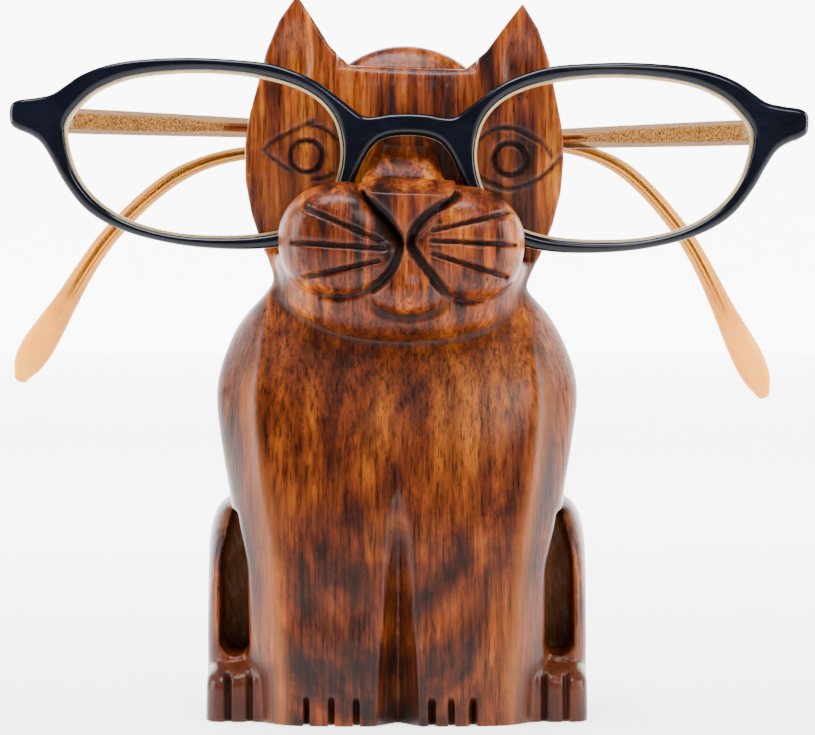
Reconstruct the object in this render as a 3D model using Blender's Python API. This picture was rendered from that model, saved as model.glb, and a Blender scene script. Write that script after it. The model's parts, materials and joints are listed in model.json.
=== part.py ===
"""A carved wooden cat that holds a pair of eyeglasses on its nose.

Metres, +Z up. The origin is on the flat underside at the middle of the cat. The cat looks
along -Y, and +X is to the right of somebody looking at its face.
"""

import math

import bmesh
import bpy
from mathutils import Matrix, Vector

MM = 0.001
GAP = 0.3  # clearance between pieces that touch, in mm

# The cat, in mm
HEAD_TILT = math.radians(2.0)  # the head leans to +X
HEAD_PIVOT_Z = 60.0
FACE_Y = -6.9
SLOT_FRONT_Y = -13.6  # the back of the cheeks, in front of the rims
SLOT_FLOOR_Z = 79.0
SLOT_INNER_X = 8.0

# The glasses, in mm, drawn flat and then bent to the face
GLASSES_X = 2.0
GLASSES_Z = 95.9  # height of the lens centres
GLASSES_ROLL = math.radians(0.65)
LENS_X = 35.0  # from the bridge's middle to each lens's middle
FRONT_Y = -12.0  # the front's foremost face at the bridge
DARK_THICK = 1.3
BACK_THICK = 2.3
LIP = 0.7  # how far the pale layer shows inside the dark one
GROOVE_DEPTH = 0.7
GROOVE_WIDE = 1.6
LENS_THICK = 1.0
LENS_BITE = 0.4  # how far the lens reaches into the groove
WRAP_RADIUS = 528.0

# The hinges and temples, in mm
HINGE_X = 64.7
HINGE_Z = {"left": 6.2, "right": 5.6}
HINGE_Y = -1.2
KNUCKLE_R = 1.0
PIN_R = 0.45
KNUCKLE_HALF = 0.75
LEAF_HALF = 1.9
LEAF_IN = 4.0
LEAF_OUT = 2.2
TEMPLE_OFFSET = 2.6  # from the hinge pin to the temple's middle
TEMPLE_START = -1.2
FOLD = {"left": math.radians(18.0), "right": math.radians(8.5)}  # angle left open at rest
DROOP = {"left": math.radians(0.7), "right": math.radians(2.1)}
BEND_SOONER = {"left": 0.0, "right": 3.0}  # the two temples aren't bent quite alike
BEND_SHARE = {"left": 1.0, "right": 0.87}
BEND_FROM = 78.0
BEND_OVER = 30.0
SIDE = {"left": -1.0, "right": 1.0}

# Upper and lower edge of half the front, from the bridge outwards: x, z
OUTLINE = (
    (0.0, 7.35), (3.2, 7.2), (5.5, 6.8), (7.6, 6.75), (9.2, 7.7), (12.0, 9.9), (15.5, 12.4),
    (19.3, 14.2), (24.0, 15.6), (30.0, 16.2), (38.0, 16.5), (47.0, 16.0), (52.5, 14.9),
    (56.4, 13.3), (59.0, 11.5), (61.2, 10.1), (64.0, 9.5), (67.0, 9.1), (68.3, 8.2),
    (68.5, 6.4), (68.2, 4.9), (67.0, 4.0), (65.0, 3.2), (63.0, 1.8), (61.1, -1.1),
    (59.2, -4.5), (56.1, -8.6), (52.6, -11.3), (47.9, -13.4), (42.6, -14.8), (37.0, -15.7),
    (30.3, -16.1), (24.3, -15.9), (19.5, -14.9), (15.2, -12.5), (12.0, -9.4), (10.0, -6.2),
    (8.7, -3.0), (7.5, -0.4), (6.2, 1.6), (4.7, 2.8), (2.6, 3.45), (0.0, 3.6),
)
# The dark layer's opening, from the lens centre, x towards the temple: x, z
OPENING = (
    (24.1, 2.8), (23.7, 5.8), (21.6, 8.6), (18.6, 11.1), (14.0, 13.1), (8.0, 14.2), (0.0, 14.6),
    (-8.0, 14.0), (-14.7, 12.5), (-19.4, 10.2), (-22.4, 7.0), (-23.8, 3.2), (-24.0, -0.8),
    (-23.0, -5.0), (-20.8, -8.9), (-17.2, -11.9), (-12.0, -13.7), (-5.0, -14.4), (3.0, -14.2),
    (9.5, -13.0), (15.0, -10.8), (19.5, -7.4), (22.5, -3.0),
)
# The temple's centreline and section: length, height above the hinge, section height, thickness
TEMPLE = (
    (TEMPLE_START, 0.0, 4.5, 2.5), (12.0, 0.0, 4.4, 2.5), (28.0, 0.0, 3.9, 2.4),
    (45.0, 0.0, 3.3, 2.3), (62.0, 0.0, 2.8, 2.3), (78.0, -0.1, 2.4, 2.3), (88.0, -0.3, 2.3, 2.3),
    (95.0, -0.7, 2.3, 2.3), (101.0, -1.5, 2.4, 2.3), (106.0, -2.9, 2.5, 2.3),
    (110.7, -5.2, 2.8, 2.3), (115.2, -8.8, 2.9, 2.3), (119.6, -13.3, 3.0, 2.3),
    (123.6, -18.2, 3.2, 2.3), (127.2, -24.0, 3.5, 2.4), (130.4, -30.0, 4.2, 2.5),
    (133.4, -35.4, 5.4, 2.6), (135.8, -39.6, 5.9, 2.6), (137.6, -43.0, 5.0, 2.4),
    (138.7, -45.6, 2.6, 1.6),
)
CORE_END = 17  # the wire stops where the paddle tip starts
CORE_PLATE = 34.0  # the core is a wide plate up to here and a wire past it


def clear_scene():
    for item in list(bpy.data.objects):
        bpy.data.objects.remove(item)


def collection(name):
    made = bpy.data.collections.new(name)
    bpy.context.scene.collection.children.link(made)
    return made


def material(name, color, roughness, metallic=0.0, alpha=1.0):
    made = bpy.data.materials.new(name)
    made.use_nodes = True
    shader = made.node_tree.nodes["Principled BSDF"]
    shader.inputs["Base Color"].default_value = (*color, 1.0)
    shader.inputs["Roughness"].default_value = roughness
    shader.inputs["Metallic"].default_value = metallic
    shader.inputs["Alpha"].default_value = alpha
    return made


def add_mesh(name, bm, group, mat=None):
    """Turn a bmesh drawn in mm into an object in metres."""
    bmesh.ops.scale(bm, vec=(MM, MM, MM), verts=bm.verts)
    bmesh.ops.recalc_face_normals(bm, faces=bm.faces)
    mesh = bpy.data.meshes.new(name)
    bm.to_mesh(mesh)
    bm.free()
    item = bpy.data.objects.new(name, mesh)
    group.objects.link(item)
    if mat is not None:
        mesh.materials.append(mat)
    return item


def make_cutter(item):
    item.hide_render = True
    item.display_type = "WIRE"
    return item


def boolean(item, other, operation):
    step = item.modifiers.new(operation.lower() + "_" + other.name, "BOOLEAN")
    step.operation = operation
    step.object = other
    step.solver = "EXACT"


def apply_modifiers(item):
    """Replace an object's mesh by its evaluated one."""
    graph = bpy.context.evaluated_depsgraph_get()
    mesh = bpy.data.meshes.new_from_object(item.evaluated_get(graph), depsgraph=graph)
    item.modifiers.clear()
    item.data = mesh
    return item


def shade(item, angle=35.0):
    item.data.shade_smooth()
    item.data.set_sharp_from_angle(angle=math.radians(angle))
    return item


def loft(rings):
    """A closed skin over rings of equal length, with a flat cap at each end."""
    bm = bmesh.new()
    rows = [[bm.verts.new(point) for point in ring] for ring in rings]
    count = len(rows[0])
    for low, high in zip(rows, rows[1:]):
        for i in range(count):
            j = (i + 1) % count
            bm.faces.new((low[i], low[j], high[j], high[i]))
    bm.faces.new(rows[0])
    bm.faces.new(rows[-1])
    return bm


def superellipse(half_x, front_y, back_y, z, power, count=28):
    """A rounded rectangle at height z."""
    mid_y = (front_y + back_y) / 2
    half_y = (back_y - front_y) / 2
    ring = []
    for i in range(count):
        angle = math.tau * (i + 0.5) / count
        c = math.cos(angle)
        s = math.sin(angle)
        x = half_x * math.copysign(abs(c) ** (2 / power), c)
        y = mid_y + half_y * math.copysign(abs(s) ** (2 / power), s)
        ring.append((x, y, z))
    return ring


def ball(center, radii, segments=20, rings=12):
    bm = bmesh.new()
    place = Matrix.Translation(center) @ Matrix.Diagonal((*radii, 1.0))
    bmesh.ops.create_uvsphere(bm, u_segments=segments, v_segments=rings, radius=1.0, matrix=place)
    return bm


def block(low, high, round_edge=0.0, segments=2):
    low = Vector(low)
    high = Vector(high)
    bm = bmesh.new()
    place = Matrix.Translation((low + high) / 2) @ Matrix.Diagonal((*(high - low), 1.0))
    bmesh.ops.create_cube(bm, size=1.0, matrix=place)
    if round_edge > 0:
        bmesh.ops.bevel(
            bm, geom=bm.edges[:], offset=round_edge, segments=segments, profile=0.5, affect="EDGES"
        )
    return bm


def prism(points, low_y, high_y):
    """An x-z outline extruded along Y."""
    return loft([[(x, y, z) for x, z in points] for y in (low_y, high_y)])


def lean_head(bm):
    """Lean head geometry towards +X about the base of the neck."""
    turn = Matrix.Rotation(HEAD_TILT, 3, "Y")
    bmesh.ops.rotate(bm, cent=(0.0, 0.0, HEAD_PIVOT_Z), matrix=turn, verts=bm.verts)
    return bm


def smooth_loop(points, steps):
    """A closed Catmull-Rom curve through the points."""
    count = len(points)
    loop = []
    for i in range(count):
        p = [Vector(points[(i + k) % count]) for k in (-1, 0, 1, 2)]
        for step in range(steps):
            t = step / steps
            loop.append(
                0.5
                * (
                    2 * p[1]
                    + (p[2] - p[0]) * t
                    + (2 * p[0] - 5 * p[1] + 4 * p[2] - p[3]) * t**2
                    + (3 * p[1] - p[0] - 3 * p[2] + p[3]) * t**3
                )
            )
    return loop


def offset_loop(loop, distance):
    """The loop moved outwards by a distance along its normals."""
    count = len(loop)
    area = sum(loop[i].cross(loop[(i + 1) % count]) for i in range(count))
    turn = 1.0 if area > 0 else -1.0
    moved = []
    for i in range(count):
        along = (loop[(i + 1) % count] - loop[i - 1]).normalized()
        moved.append(loop[i] + Vector((along.y, -along.x)) * distance * turn)
    return moved


def front_outline():
    half = list(OUTLINE)
    other = [(-x, z) for x, z in reversed(half[1:-1])]
    return [Vector(p) for p in half + other]


def opening_loop(side, grow=0.0):
    loop = offset_loop(smooth_loop(OPENING, 2), grow)
    return [Vector((side * (LENS_X + p.x), p.y)) for p in loop]


def bend(item):
    """Bend a piece drawn flat round the face."""
    for vert in item.data.vertices:
        x = vert.co.x / MM
        vert.co.y += x * x / (2 * WRAP_RADIUS) * MM
    item.data.update()
    return item


def extruded(name, loops, low_y, high_y, group, mat=None):
    """Flat x-z loops filled as one 2D curve, holes included, and extruded along Y."""
    curve = bpy.data.curves.new(name, "CURVE")
    curve.dimensions = "2D"
    curve.fill_mode = "BOTH"
    curve.extrude = (high_y - low_y) / 2 * MM
    for loop in loops:
        line = curve.splines.new("POLY")
        line.points.add(len(loop) - 1)
        for point, place in zip(line.points, loop):
            point.co = (place.x * MM, place.y * MM, 0.0, 1.0)
        line.use_cyclic_u = True
    guide = bpy.data.objects.new(name + "_curve", curve)
    group.objects.link(guide)
    graph = bpy.context.evaluated_depsgraph_get()
    mesh = bpy.data.meshes.new_from_object(guide.evaluated_get(graph), depsgraph=graph)
    bpy.data.objects.remove(guide)
    bm = bmesh.new()
    bm.from_mesh(mesh)
    bpy.data.meshes.remove(mesh)
    bmesh.ops.remove_doubles(bm, verts=bm.verts, dist=0.000001)
    bmesh.ops.rotate(bm, cent=(0, 0, 0), matrix=Matrix.Rotation(math.pi / 2, 3, "X"), verts=bm.verts)
    bmesh.ops.translate(bm, vec=(0, (low_y + high_y) / 2 * MM, 0), verts=bm.verts)
    bmesh.ops.scale(bm, vec=(1 / MM,) * 3, verts=bm.verts)
    return add_mesh(name, bm, group, mat)


def parent_to(item, empty):
    """Put a piece in the space that it was drawn in."""
    item.parent = empty
    return item


def make_empty(name, group, parent=None, location=(0.0, 0.0, 0.0), rotation=(0.0, 0.0, 0.0)):
    empty = bpy.data.objects.new(name, None)
    group.objects.link(empty)
    empty.parent = parent
    empty.location = Vector(location) * MM
    empty.rotation_euler = rotation
    return empty


def head_outline():
    """The face seen from the front, with two ears and the flat between them."""
    half = (
        (9.4, 111.4), (13.2, 114.4), (16.2, 118.4), (19.4, 123.0), (22.4, 118.6), (24.2, 113.5),
        (25.6, 107.5), (26.9, 102.5), (27.5, 97.0), (27.2, 91.0), (26.0, 85.5), (24.0, 79.5),
        (20.5, 73.0), (14.0, 67.0),
    )
    return list(half) + [(-x, z) for x, z in reversed(half)]


def make_head(cutters):
    """The head: a face board with ears and a rounded back, cheeks, jaw and nose ridge."""
    head = add_mesh("head_board", lean_head(prism(head_outline(), FACE_Y, 12.0)), cutters)
    back = loft(
        [
            superellipse(34.0 * k, FACE_Y - 30.0, 7.0 - drop, z, 2.0, 36)
            for z, k, drop in ((60, 1.0, 0.0), (90, 1.0, 0.0), (108, 0.98, 0.4), (126, 0.92, 2.4))
        ]
    )
    boolean(head, make_cutter(add_mesh("head_back", lean_head(back), cutters)), "INTERSECT")
    crown = lean_head(ball((0.0, 0.3, 103.0), (15.5, 6.3, 12.4)))
    boolean(head, make_cutter(add_mesh("crown", crown, cutters)), "UNION")
    jaw = lean_head(ball((0.0, -6.0, 75.0), (22.0, 15.5, 12.6), segments=28, rings=16))
    boolean(head, make_cutter(add_mesh("jaw", jaw, cutters)), "UNION")
    for name, side in SIDE.items():
        puff = ball((side * 9.6, -16.0, 83.2), (10.9, 8.2, 9.0), segments=24, rings=14)
        boolean(head, make_cutter(add_mesh("cheek_" + name, lean_head(puff), cutters)), "UNION")
    ridge = loft(
        [
            superellipse(half, front, 0.0, z, 5.0, 20)
            for z, half, front in (
                (80.0, 8.0, -20.0), (89.6, 7.2, -19.0), (91.6, 6.6, -15.5),
                (96.2, 5.0, -11.0), (98.2, 4.0, -7.9), (101.0, 3.6, -7.5),
            )
        ]
    )
    boolean(head, make_cutter(add_mesh("nose_ridge", lean_head(ridge), cutters)), "UNION")
    for name, side in SIDE.items():
        near = side * SLOT_INNER_X
        far = side * 34.0
        low = (min(near, far), SLOT_FRONT_Y, SLOT_FLOOR_Z)
        slot = lean_head(block(low, (max(near, far), FACE_Y, 130.0)))
        boolean(head, make_cutter(add_mesh("slot_" + name, slot, cutters)), "DIFFERENCE")
    return apply_modifiers(head)


def make_cat(group, cutters, wood):
    """The cat, carved from one block: torso, haunches, paws and head."""
    torso_rows = (
        # z, half width, front y, back y, power
        (-4.0, 24.6, -20.5, 22.0, 3.6), (6.0, 24.6, -21.0, 22.5, 3.6), (20.0, 25.6, -21.5, 23.0, 3.2),
        (32.0, 27.6, -21.0, 22.0, 3.0), (42.0, 29.2, -19.5, 19.0, 2.8), (52.0, 30.4, -17.0, 15.5, 2.6),
        (58.0, 30.4, -14.5, 12.5, 2.5), (64.0, 28.6, -11.5, 9.5, 2.4), (69.0, 25.5, -9.0, 7.5, 2.4),
        (74.0, 21.0, -7.0, 6.0, 2.3),
    )
    body = [superellipse(half, front, back, z, power) for z, half, front, back, power in torso_rows]
    cat = add_mesh("carved_cat", loft(body), group, wood)
    for name, side in SIDE.items():
        haunch = ball((side * 21.5, 9.0, 19.5), (11.2, 15.0, 20.5), segments=22, rings=14)
        boolean(cat, make_cutter(add_mesh("haunch_" + name, haunch, cutters)), "UNION")
        low_x, high_x = sorted((side * 18.5, side * 32.0))
        hind = block((low_x, -15.5, -4.0), (high_x, 18.0, 8.5), 3.0)
        boolean(cat, make_cutter(add_mesh("hind_paw_" + name, hind, cutters)), "UNION")
        low_x, high_x = sorted((side * 3.6, side * 20.5))
        fore = block((low_x, -24.0, -4.0), (high_x, -8.0, 7.5), 2.5)
        boolean(cat, make_cutter(add_mesh("fore_paw_" + name, fore, cutters)), "UNION")
    boolean(cat, make_cutter(make_head(cutters)), "UNION")
    arch = [(-3.4, -6.0), (3.4, -6.0), (2.8, 20.0), (2.5, 32.0), (1.2, 38.0), (0.0, 41.0)]
    arch += [(-1.2, 38.0), (-2.5, 32.0), (-2.8, 20.0)]
    groove = add_mesh("leg_groove", prism(arch, -30.0, -17.6), cutters)
    boolean(cat, make_cutter(groove), "DIFFERENCE")
    for name, side in SIDE.items():
        low_x, high_x = sorted((side * 24.2, side * 27.6))
        recess = block((low_x, -30.0, 9.5), (high_x, -1.0, 33.0), 1.2, 1)
        boolean(cat, make_cutter(add_mesh("recess_" + name, recess, cutters)), "DIFFERENCE")
    below = add_mesh("below_table", block((-60, -60, -30), (60, 60, 0)), cutters)
    boolean(cat, make_cutter(below), "DIFFERENCE")
    return shade(apply_modifiers(cat))


def make_front(group, cutters, mats, glasses):
    """The front: a dark layer over a pale layer, and a lens sprung into each groove."""
    outline = front_outline()
    dark_back = FRONT_Y + DARK_THICK
    pale_front = dark_back + GAP
    pale_back = pale_front + BACK_THICK
    loops = [outline] + [opening_loop(side) for side in SIDE.values()]
    dark = extruded("frame_front", loops, FRONT_Y, dark_back, group, mats["dark"])
    loops = [outline] + [opening_loop(side, -LIP) for side in SIDE.values()]
    pale = extruded("frame_back_layer", loops, pale_front, pale_back, group, mats["pale"])
    middle = (pale_front + pale_back) / 2
    for name, side in SIDE.items():
        wide = GROOVE_WIDE / 2
        loop = opening_loop(side, GROOVE_DEPTH - LIP)
        ring = extruded("groove_" + name, [loop], middle - wide, middle + wide, cutters)
        boolean(pale, make_cutter(ring), "DIFFERENCE")
        thick = LENS_THICK / 2
        loop = opening_loop(side, LENS_BITE - LIP)
        lens = extruded("lens_" + name, [loop], middle - thick, middle + thick, group, mats["lens"])
        parent_to(shade(bend(lens)), glasses)
    apply_modifiers(pale)
    for layer in (dark, pale):
        parent_to(shade(bend(layer)), glasses)


def wrap_at(x):
    return x * x / (2 * WRAP_RADIUS)


def cylinder(radius, low_z, high_z):
    bm = bmesh.new()
    place = Matrix.Translation((0.0, 0.0, (low_z + high_z) / 2))
    bmesh.ops.create_cone(
        bm, cap_ends=True, segments=16, radius1=radius, radius2=radius,
        depth=high_z - low_z, matrix=place,
    )
    return bm


def joined(name, shapes, group, cutters, mat=None):
    """One solid from overlapping bmesh shapes."""
    first, *rest = shapes
    item = add_mesh(name, first, group, mat)
    for index, shape in enumerate(rest):
        boolean(item, make_cutter(add_mesh(f"{name}_{index}", shape, cutters)), "UNION")
    return item


def make_hinge(name, group, cutters, gold, axis, fold):
    """A three-knuckle hinge: outer knuckles on the front, middle one on the temple, one screw."""
    side = SIDE[name]
    half = LEAF_HALF
    back_face = FRONT_Y + DARK_THICK + GAP + BACK_THICK + wrap_at(HINGE_X + LEAF_OUT)
    plate_y = back_face + GAP - HINGE_Y
    # the leaf on the front lies flat behind the end piece
    low_x, high_x = sorted((side * -LEAF_IN, side * LEAF_OUT))
    leaf = [block((low_x, plate_y, -half), (high_x, plate_y + 0.8, half))]
    for low, high in ((KNUCKLE_HALF + GAP / 2, half), (-half, -KNUCKLE_HALF - GAP / 2)):
        leaf.append(cylinder(KNUCKLE_R, low, high))
        leaf.append(block((-0.6, plate_y + 0.4, low), (0.6, 0.0, high)))
    front_leaf = joined("hinge_front_" + name, leaf, group, cutters, gold)
    hole = add_mesh("pin_hole_" + name, cylinder(PIN_R + 0.1, -4.0, 4.0), cutters)
    boolean(front_leaf, make_cutter(hole), "DIFFERENCE")
    parent_to(shade(apply_modifiers(front_leaf)), axis)
    # the temple's leaf runs along its inner face
    inner = TEMPLE_OFFSET - TEMPLE[0][3] / 2 - GAP
    low_x, high_x = sorted((side * -7.0, side * -1.6))
    leaf = [
        block((low_x, inner - 0.55, -1.3), (high_x, inner, 1.3)),
        cylinder(KNUCKLE_R, -KNUCKLE_HALF, KNUCKLE_HALF),
        block((min(0.0, side * -2.4), inner - 0.55, -0.7), (max(0.0, side * -2.4), inner, 0.7)),
    ]
    temple_leaf = joined("hinge_temple_" + name, leaf, group, cutters, gold)
    hole = add_mesh("pin_hole_temple_" + name, cylinder(PIN_R + 0.1, -4.0, 4.0), cutters)
    boolean(temple_leaf, make_cutter(hole), "DIFFERENCE")
    parent_to(shade(apply_modifiers(temple_leaf)), fold)
    # the screw, with its head over the top knuckle
    screw = joined(
        "hinge_screw_" + name,
        [cylinder(PIN_R, -half - 0.2, half + 0.4), cylinder(0.85, half + 0.2, half + 0.8)],
        group, cutters, gold,
    )
    slot = add_mesh("screw_slot_" + name, block((-1.2, -0.12, half + 0.6), (1.2, 0.12, half + 2.0)), cutters)
    boolean(screw, make_cutter(slot), "DIFFERENCE")
    parent_to(shade(apply_modifiers(screw)), axis)


def temple_rings(side, rows, height_scale, thick, sides=10, droop=0.0):
    """Rounded sections square to the temple's centreline, which runs inwards at rest."""
    rings = []
    for i, (length, drop, height, width) in enumerate(rows):
        before = rows[max(i - 1, 0)]
        after = rows[min(i + 1, len(rows) - 1)]
        along = Vector((after[0] - before[0], after[1] - before[1])).normalized()
        up = Vector((-along.y, along.x))
        half_h = height_scale(length, height) / 2
        half_t = thick(length, width) / 2
        ring = []
        for k in range(sides):
            angle = math.tau * (k + 0.5) / sides
            c = math.cos(angle)
            s = math.sin(angle)
            h = half_h * math.copysign(abs(s) ** 0.7, s)
            t = half_t * math.copysign(abs(c) ** 0.7, c)
            sag = -length * math.tan(droop)
            ring.append((-side * (length + up.x * h), TEMPLE_OFFSET + t, drop + up.y * h + sag))
        rings.append(ring)
    return rings


def core_height(length, _height):
    return 2.6 if length < CORE_PLATE else 1.1


def core_thick(_length, _width):
    return 0.7


def temple_line(name):
    """The centreline with this side's own bend behind the ear."""
    rows = []
    for length, drop, height, width in TEMPLE:
        sooner = BEND_SOONER[name] * min(max((length - BEND_FROM) / BEND_OVER, 0.0), 1.0)
        rows.append((length - sooner, drop * BEND_SHARE[name], height, width))
    return rows


def core_rows(line):
    """The wire runs on from the plate, which ends in a short taper."""
    rows = [row for row in line[:CORE_END] if row[0] < CORE_PLATE]
    rows.append((CORE_PLATE + 4.0, 0.0, 0.0, 0.0))
    rows += [row for row in line[:CORE_END] if row[0] > CORE_PLATE + 4.0]
    return rows


def make_temple(name, group, cutters, mats, fold):
    """A clear acetate temple with a metal core in a bore that is open at the hinge end."""
    side = SIDE[name]
    droop = DROOP[name]
    line = temple_line(name)
    rings = temple_rings(side, line, lambda _l, h: h, lambda _l, w: w, droop=droop)
    temple = add_mesh("temple_" + name, loft(rings), group, mats["temple"])
    rows = core_rows(line)
    start = (rows[0][0] - 2.0,) + rows[0][1:]
    end = (rows[-1][0] + 0.4, rows[-1][1] - 0.7) + rows[-1][2:]
    bore = temple_rings(
        side, [start] + rows[1:] + [end],
        lambda l, h: core_height(l, h) + 2 * GAP, lambda l, w: core_thick(l, w) + 2 * GAP, 8, droop,
    )
    boolean(temple, make_cutter(add_mesh("core_bore_" + name, loft(bore), cutters)), "DIFFERENCE")
    parent_to(shade(apply_modifiers(temple)), fold)
    core = add_mesh(
        "core_wire_" + name, loft(temple_rings(side, rows, core_height, core_thick, 8, droop)),
        group, mats["gold"],
    )
    parent_to(shade(core), fold)


def main():
    clear_scene()
    group = collection("cat_eyeglasses_stand")
    cutters = collection("cutters")
    mats = {
        "wood": material("rosewood", (0.23, 0.075, 0.03), 0.32),
        "dark": material("navy_acetate", (0.008, 0.01, 0.022), 0.12),
        "pale": material("cream_acetate", (0.75, 0.6, 0.38), 0.25),
        "lens": material("clear_lens", (0.95, 0.97, 0.97), 0.02, alpha=0.2),
        "temple": material("amber_acetate", (0.85, 0.55, 0.35), 0.2, alpha=0.6),
        "gold": material("gold_metal", (0.8, 0.58, 0.25), 0.25, 1.0),
    }
    make_cat(group, cutters, mats["wood"])
    glasses = make_empty(
        "glasses_pose", group, None, (GLASSES_X, 0.0, GLASSES_Z), (0.0, GLASSES_ROLL, 0.0)
    )
    make_front(group, cutters, mats, glasses)
    for name, side in SIDE.items():
        place = (side * HINGE_X, HINGE_Y, HINGE_Z[name])
        axis = make_empty("hinge_axis_" + name, group, glasses, place)
        turn = (0.0, 0.0, -side * FOLD[name])
        fold = make_empty("temple_fold_" + name, group, axis, (0.0, 0.0, 0.0), turn)
        make_hinge(name, group, cutters, mats["gold"], axis, fold)
        make_temple(name, group, cutters, mats, fold)
    bpy.context.view_layer.update()


main()
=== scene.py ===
"""The finished look of a carved rosewood cat that wears a pair of eyeglasses.

Lengths are in mm unless a name says otherwise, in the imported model's frame: +X to the right of
somebody looking at the cat's face, -Y towards that person, +Z up.
"""

import json
import math

import bmesh
import bpy
import numpy as np
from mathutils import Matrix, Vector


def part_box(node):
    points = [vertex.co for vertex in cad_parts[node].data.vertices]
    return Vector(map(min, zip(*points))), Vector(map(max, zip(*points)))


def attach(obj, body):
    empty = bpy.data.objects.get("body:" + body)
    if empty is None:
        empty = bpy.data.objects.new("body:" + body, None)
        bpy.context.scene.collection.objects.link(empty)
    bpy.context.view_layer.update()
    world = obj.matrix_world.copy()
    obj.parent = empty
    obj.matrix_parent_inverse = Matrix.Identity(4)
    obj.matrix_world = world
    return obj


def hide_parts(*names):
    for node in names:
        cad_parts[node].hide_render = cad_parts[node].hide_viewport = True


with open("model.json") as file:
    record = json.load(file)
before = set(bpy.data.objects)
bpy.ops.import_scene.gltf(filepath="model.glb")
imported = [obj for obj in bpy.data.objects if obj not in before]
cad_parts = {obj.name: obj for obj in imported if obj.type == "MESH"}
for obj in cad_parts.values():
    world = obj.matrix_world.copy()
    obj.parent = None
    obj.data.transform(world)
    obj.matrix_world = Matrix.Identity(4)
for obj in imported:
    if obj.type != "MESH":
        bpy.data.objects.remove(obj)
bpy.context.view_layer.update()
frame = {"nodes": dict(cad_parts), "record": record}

import openvdb
from mathutils import Matrix, Vector

MM = 0.001
SIDES = {"left": -1.0, "right": 1.0}


def mm(point):
    return np.array([value / MM for value in point])


# ------------------------ places read from the frame
CAT_LOW, CAT_HIGH = (mm(p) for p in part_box("carved_cat"))
FRONT_LOW = mm(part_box("frame_front")[0])
JOINTS = {joint["name"]: joint for joint in frame["record"]["behaviour"]["joints"]}
HINGES = {name: mm(JOINTS[name + "_temple_hinge"]["pos_m"]) for name in SIDES}
HINGE_AXIS = Vector(JOINTS["left_temple_hinge"]["axis"]).normalized()
ROLL = math.atan2(HINGE_AXIS.x, HINGE_AXIS.z)

# ------------------------ the cat's own sizes
HEAD_LEAN = math.radians(2.0)
HEAD_PIVOT_Z = 60.0
BODY_TOP_Z = 79.0
BODY_FIELD_TO_Z = 84.0  # the two fields overlap between these heights
HEAD_FIELD_FROM_Z = 58.0
FACE_Y = -6.9
# the slot behind the cheeks that the lower rims rest in
SLOT_FRONT_Y = -13.6
SLOT_FLOOR_Z = 79.0
SLOT_INNER_X = 8.0
# the thighs, each a drum seen from the side: y and z
THIGH_CENTER = (5.5, 14.0)
THIGH_RADII = (16.5, 23.6)
THIGH_OUTER_X = 32.5
THIGH_ROUND = 4.5
HOLLOW_X = 27.7  # the hollow between a thigh and a front leg
VOXEL = 0.38

# ------------------------ the glasses' own sizes
GLASSES = np.array([2.0, 0.0, 95.9])  # the middle of the front, level with the lens centres
LENS_X = 35.0
WRAP_RADIUS = 528.0
FRONT_Y = FRONT_LOW[1]
DARK_BACK_Y = FRONT_Y + 1.5
LAYER_GAP = 0.03
PALE_BACK_Y = -8.1
DARK_LIP = 0.25  # how far each layer reaches in past the opening
PALE_LIP = 0.7
LENS_GROOVE = 0.35
LENS_BULGE = 1.5
LENS_HALF_THICK = 0.7
DARK_EDGES = (0.95, 0.15)  # edge radii, front and back
PALE_EDGES = (0.2, 0.6)
DARK_VOXEL = 0.18
PALE_VOXEL = 0.23
TEMPLE_OFFSET = 2.6  # from the hinge axis to the middle of the temple
END_ROUND = 0.9  # length over which a temple's ends round off
# the core inside a temple: lengths from the hinge, then its sections
CORE_END = 132.6
PLATE_END = 35.0
PLATE_FADE = 8.0
PLATE_SHARE = 0.62  # of the temple's height
PLATE_THICK = 0.7
WIRE_FROM = 30.0
WIRE_HEIGHT = 1.5
WIRE_THICK = 0.9
WIRE_TIP = 2.6
FOLD = {"left": math.radians(18.0), "right": math.radians(8.5)}
DROOP = {"left": math.radians(0.7), "right": math.radians(2.1)}
# half the front's outline, and the right opening about its own centre: x, z
OUTLINE = (
    (0.0, 7.35), (3.2, 7.2), (5.5, 6.8), (7.6, 6.75), (9.2, 7.7), (12.0, 9.9), (15.5, 12.4),
    (19.3, 14.2), (24.0, 15.6), (30.0, 16.2), (38.0, 16.5), (47.0, 16.0), (52.5, 14.9),
    (56.4, 13.3), (59.0, 11.5), (61.2, 10.1), (64.0, 9.5), (67.0, 9.1), (68.3, 8.2),
    (68.5, 6.4), (68.2, 4.9), (67.0, 4.0), (65.0, 3.2), (63.0, 1.8), (61.1, -1.1),
    (59.2, -4.5), (56.1, -8.6), (52.6, -11.3), (47.9, -13.4), (42.6, -14.8), (37.0, -15.7),
    (30.3, -16.1), (24.3, -15.9), (19.5, -14.9), (15.2, -12.5), (12.0, -9.4), (10.0, -6.2),
    (8.7, -3.0), (7.5, -0.4), (6.2, 1.6), (4.7, 2.8), (2.6, 3.45), (0.0, 3.6),
)
OPENING = (
    (24.1, 2.8), (23.7, 5.8), (21.6, 8.6), (18.6, 11.1), (14.0, 13.1), (8.0, 14.2), (0.0, 14.6),
    (-8.0, 14.0), (-14.7, 12.5), (-19.4, 10.2), (-22.4, 7.0), (-23.8, 3.2), (-24.0, -0.8),
    (-23.0, -5.0), (-20.8, -8.9), (-17.2, -11.9), (-12.0, -13.7), (-5.0, -14.4), (3.0, -14.2),
    (9.5, -13.0), (15.0, -10.8), (19.5, -7.4), (22.5, -3.0),
)
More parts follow.
